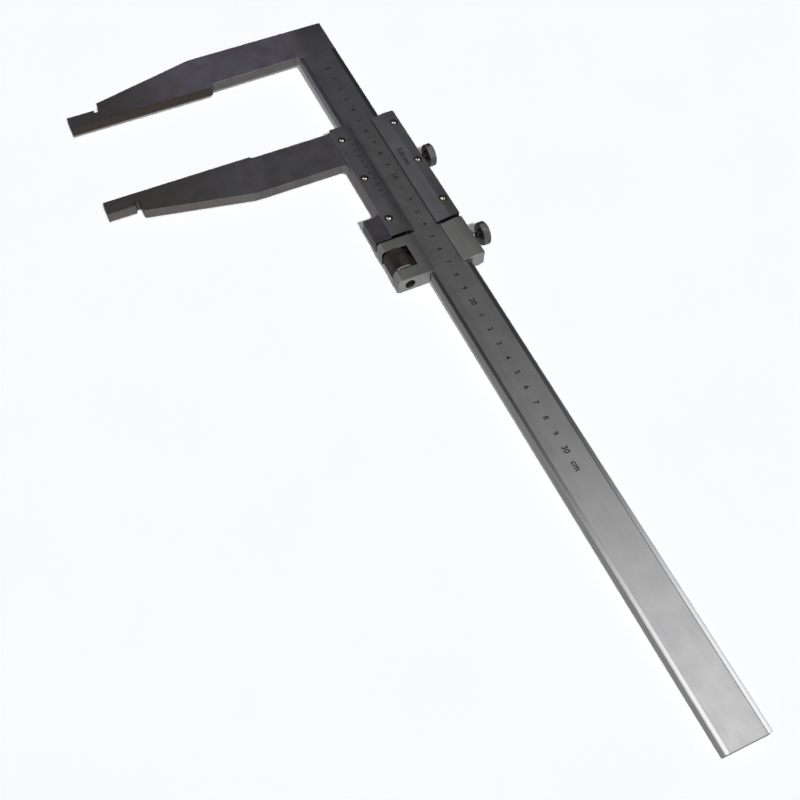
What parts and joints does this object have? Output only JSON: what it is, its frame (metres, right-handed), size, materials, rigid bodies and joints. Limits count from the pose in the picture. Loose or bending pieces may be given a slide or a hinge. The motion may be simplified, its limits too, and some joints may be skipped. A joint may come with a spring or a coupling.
{
  "type": "vernier caliper",
  "caption": "Vernier caliper with long jaws, inside-measuring nibs, a screwed-on vernier plate and a fine-adjustment clamp.",
  "frame": {"origin": "the middle of the fixed jaw's measuring face, 115.25 mm across from the beam's centreline and halfway through its thickness", "axes": "+X along the beam away from the jaws, +Y across it away from the jaw tips, +Z out of the graduated face"},
  "size_m": [0.4982, 0.1898, 0.014],
  "materials": {
    "satin_steel": "satin ground carbon steel",
    "plate_steel": "satin ground steel, darker",
    "screw_steel": "polished steel, faintly yellow",
    "knurled_steel": "turned and knurled steel",
    "blackened_steel": "blackened knurled steel",
    "spring_steel": "bright spring steel",
    "brass": "machined brass"
  },
  "bodies": {
    "beam": {"beam": "satin_steel"},
    "slider": {"slider_frame": "satin_steel", "vernier_plate": "plate_steel", "cover_plate": "plate_steel", "vernier_screw_1": "screw_steel", "vernier_screw_2": "screw_steel", "vernier_screw_3": "screw_steel", "cover_screw_1": "screw_steel", "cover_screw_2": "screw_steel", "cover_screw_3": "screw_steel", "slider_gib": "spring_steel", "gib_screw_1": "screw_steel", "gib_screw_2": "screw_steel", "adjusting_screw": "spring_steel", "adjusting_screw_set_screw": "screw_steel"},
    "clamp": {"clamp_frame": "satin_steel", "clamp_gib": "spring_steel"},
    "adjusting_nut": {"adjusting_nut": "blackened_steel"},
    "slider_lock_pad": {"slider_lock_pad": "brass"},
    "slider_lock_screw": {"slider_lock_screw": "knurled_steel"},
    "clamp_lock_pad": {"clamp_lock_pad": "brass"},
    "clamp_lock_screw": {"clamp_lock_screw": "knurled_steel"}
  },
  "joints": [
    {"name": "slider_slide", "type": "slide", "parent": "beam", "child": "slider", "axis": [1, 0, 0], "range_m": [-0.0645, 0.2353]},
    {"name": "clamp_slide", "type": "slide", "parent": "slider", "child": "clamp", "axis": [1, 0, 0], "range_m": [-0.0014, 0.0056]},
    {"name": "adjusting_nut_spin", "type": "hinge", "parent": "clamp", "child": "adjusting_nut", "pos_m": [0.1718, 0.09095, 0.0001], "axis": [1, 0, 0], "range_deg": [-720, 2880]},
    {"name": "slider_lock_travel", "type": "slide", "parent": "slider", "child": "slider_lock_pad", "axis": [0, 1, 0], "range_m": [-0.00018, 0.0014]},
    {"name": "slider_lock_spin", "type": "hinge", "parent": "slider_lock_pad", "child": "slider_lock_screw", "pos_m": [0.1033, 0.14015, 0], "axis": [0, 1, 0], "range_deg": [-93, 721]},
    {"name": "clamp_lock_travel", "type": "slide", "parent": "clamp", "child": "clamp_lock_pad", "axis": [0, 1, 0], "range_m": [-0.00018, 0.0014]},
    {"name": "clamp_lock_spin", "type": "hinge", "parent": "clamp_lock_pad", "child": "clamp_lock_screw", "pos_m": [0.1703, 0.1413, 0], "axis": [0, 1, 0], "range_deg": [-93, 721]}
  ],
  "couplings": [
    {"joint": "adjusting_nut_spin", "follows": "clamp_slide", "rad_per_m": 8976},
    {"joint": "slider_lock_spin", "follows": "slider_lock_travel", "rad_per_m": 8976},
    {"joint": "clamp_lock_spin", "follows": "clamp_lock_travel", "rad_per_m": 8976}
  ]
}
